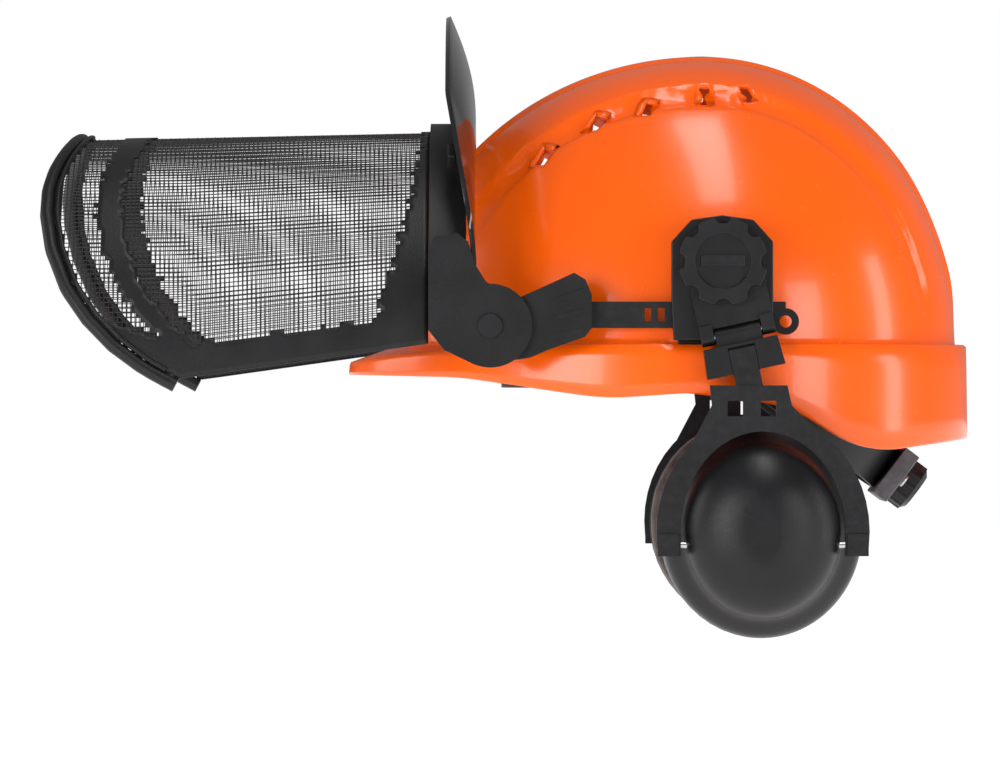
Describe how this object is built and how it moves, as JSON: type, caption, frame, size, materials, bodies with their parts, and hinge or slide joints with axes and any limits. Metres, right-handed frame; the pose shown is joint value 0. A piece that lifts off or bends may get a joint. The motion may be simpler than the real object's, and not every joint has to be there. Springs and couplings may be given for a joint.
{
  "type": "safety helmet",
  "caption": "Vented orange safety helmet with a tilting mesh visor, ear muffs on adjustable arms and an adjustable head harness",
  "frame": {"origin": "on the midplane, level with the wearer's brow, at the headband's lower edge", "axes": "hat faces -Y, wearer's left is +X, crown is +Z"},
  "size_m": [0.2824, 0.4303, 0.289],
  "materials": {
    "orange_shell": "glossy",
    "black_plastic": "matte",
    "cup_black": "satin",
    "gloss_black": "glossy",
    "grey_plastic": "matte",
    "soft_brown": "matte",
    "webbing": "matte",
    "mesh_black": "satin",
    "foam_grey": "matte",
    "steel": "satin"
  },
  "bodies": {
    "helmet": {"shell": "orange_shell", "headband": "black_plastic", "sweatband": "soft_brown", "crown_straps": "webbing", "crown_pad": "soft_brown", "strap_anchors": "black_plastic", "nape_strap": "black_plastic", "nape_pad": "soft_brown", "ratchet_housing": "grey_plastic", "nape_rivets": "steel", "left_strap": "black_plastic", "left_bracket": "black_plastic", "left_adapter": "black_plastic", "right_strap": "black_plastic", "right_bracket": "black_plastic", "right_adapter": "black_plastic"},
    "adjuster": {"ratchet_knob": "black_plastic", "ratchet_pinion": "black_plastic"},
    "visor": {"visor_frame": "black_plastic", "visor_screen": "mesh_black", "visor_rim": "black_plastic", "visor_stripe": "black_plastic", "visor_borders": "black_plastic", "brim_shield": "gloss_black", "shield_clips": "black_plastic", "pivot_pins": "black_plastic"},
    "left_swing": {"left_knob": "black_plastic", "left_arm": "black_plastic", "left_hinge_pin": "steel"},
    "left_flip": {"left_block": "black_plastic"},
    "left_slide": {"left_yoke": "black_plastic"},
    "left_muff": {"left_cup": "cup_black", "left_cup_pins": "steel", "left_back_plate": "black_plastic", "left_foam": "foam_grey", "left_cushion": "soft_brown"},
    "right_swing": {"right_knob": "black_plastic", "right_arm": "black_plastic", "right_hinge_pin": "steel"},
    "right_flip": {"right_block": "black_plastic"},
    "right_slide": {"right_yoke": "black_plastic"},
    "right_muff": {"right_cup": "cup_black", "right_cup_pins": "steel", "right_back_plate": "black_plastic", "right_foam": "foam_grey", "right_cushion": "soft_brown"}
  },
  "joints": [
    {"name": "visor_tilt", "type": "hinge", "parent": "helmet", "child": "visor", "pos_m": [0, -0.104, 0.03], "axis": [1, 0, 0], "range_deg": [0, 90]},
    {"name": "nape_adjust", "type": "hinge", "parent": "helmet", "child": "adjuster", "pos_m": [0, 0.08597, -0.03921], "axis": [0, 0.7986, -0.6018], "continuous": true},
    {"name": "left_arm_turn", "type": "hinge", "parent": "helmet", "child": "left_swing", "pos_m": [0.11, 0.001, 0.059], "axis": [1, 0, 0], "range_deg": [-3, 3]},
    {"name": "left_flip_out", "type": "hinge", "parent": "left_swing", "child": "left_flip", "pos_m": [0.117, 0.00786, 0.02672], "axis": [0, -0.9781, -0.2079], "range_deg": [0, 25]},
    {"name": "left_height", "type": "slide", "parent": "left_flip", "child": "left_slide", "axis": [0, 0.2079, -0.9781], "range_m": [0, 0.012]},
    {"name": "left_cup_tilt", "type": "hinge", "parent": "left_slide", "child": "left_muff", "pos_m": [0.121, 0.019, -0.069], "axis": [0, 1, 0], "range_deg": [-4, 4]},
    {"name": "right_arm_turn", "type": "hinge", "parent": "helmet", "child": "right_swing", "pos_m": [-0.11, 0.001, 0.059], "axis": [1, 0, 0], "range_deg": [-3, 3]},
    {"name": "right_flip_out", "type": "hinge", "parent": "right_swing", "child": "right_flip", "pos_m": [-0.117, 0.00786, 0.02672], "axis": [0, 0.9781, 0.2079], "range_deg": [0, 25]},
    {"name": "right_height", "type": "slide", "parent": "right_flip", "child": "right_slide", "axis": [0, 0.2079, -0.9781], "range_m": [0, 0.012]},
    {"name": "right_cup_tilt", "type": "hinge", "parent": "right_slide", "child": "right_muff", "pos_m": [-0.121, 0.019, -0.069], "axis": [0, 1, 0], "range_deg": [-4, 4]}
  ]
}
